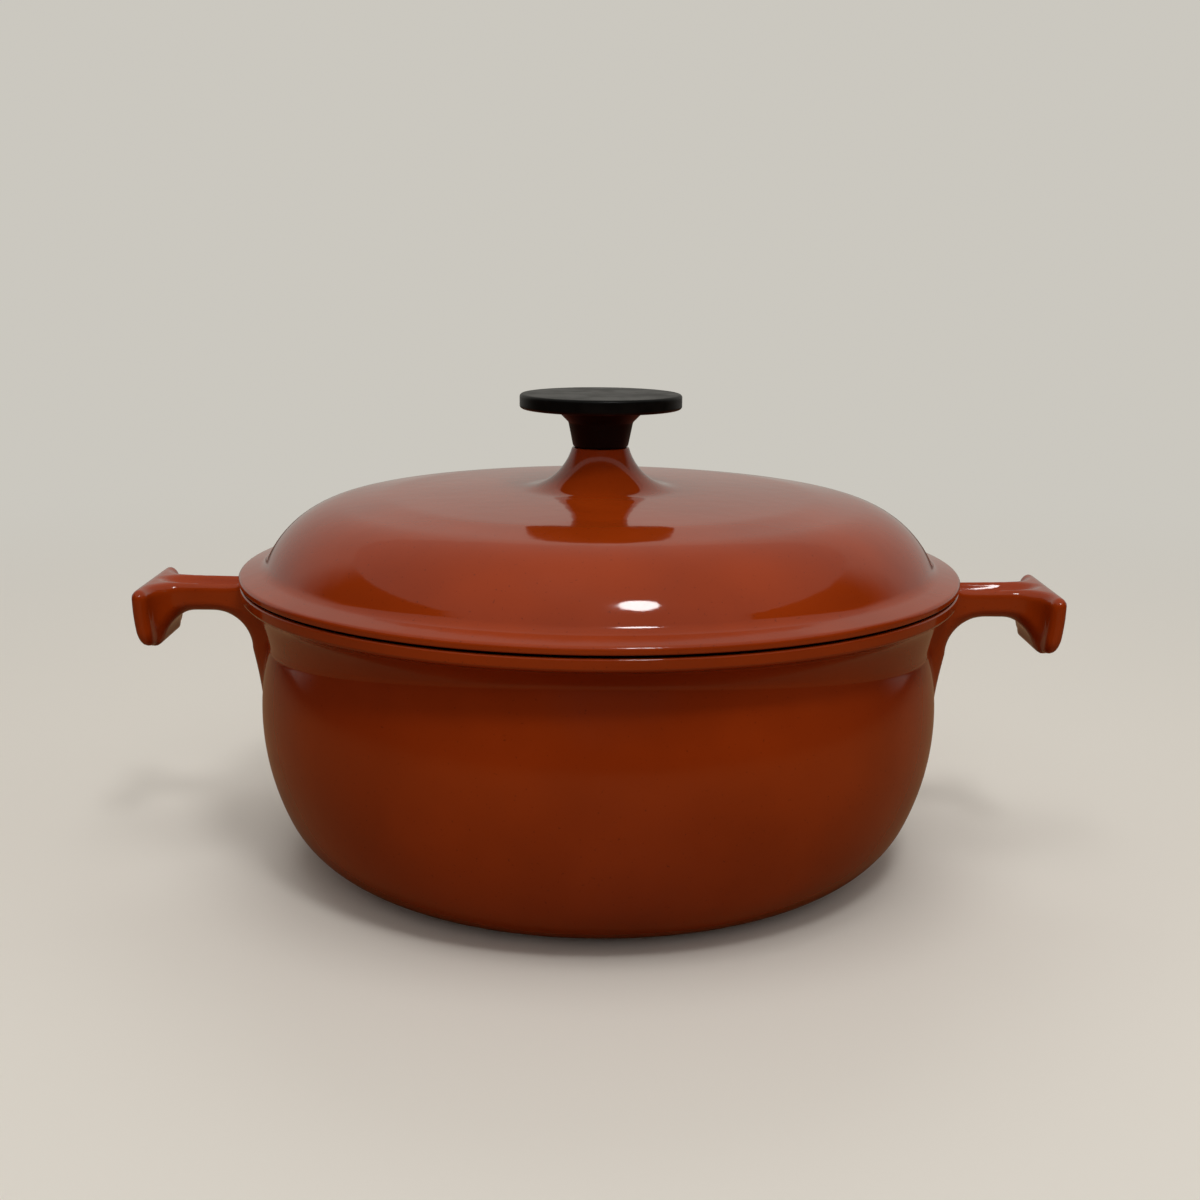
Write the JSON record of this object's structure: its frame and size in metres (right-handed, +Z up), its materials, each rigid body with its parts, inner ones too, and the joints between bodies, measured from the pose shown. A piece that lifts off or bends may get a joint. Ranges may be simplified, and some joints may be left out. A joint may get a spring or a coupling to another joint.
{
  "type": "cast iron dutch oven",
  "caption": "Round enamelled cast iron pot with bulging sides, hooked side handles and a low domed lid with a screwed-on disc knob, for slow cooking on a hob or in an oven.",
  "frame": {"origin": "on the hob, under the middle of the pot's foot ring", "axes": "+Z up along the pot's axis, +X along the line of the two handles"},
  "size_m": [0.327, 0.255, 0.1672],
  "materials": {
    "orange_enamel": "gloss vitreous enamel in burnt orange-red on cast iron",
    "cream_enamel": "opaque gloss cream vitreous enamel",
    "black_phenolic": "satin black moulded phenolic",
    "brass": "turned",
    "screw_steel": "zinc-plated steel"
  },
  "bodies": {
    "pot": {"pot": "orange_enamel", "pot_lining": "cream_enamel"},
    "lid": {"lid": "orange_enamel", "lid_lining": "cream_enamel", "knob": "black_phenolic", "knob_insert": "brass", "knob_screw": "screw_steel", "screw_washer": "screw_steel"}
  },
  "joints": [
    {"name": "lid_lift", "type": "slide", "parent": "pot", "child": "lid", "axis": [0, 0, 1], "range_m": [0, 0.15]}
  ]
}
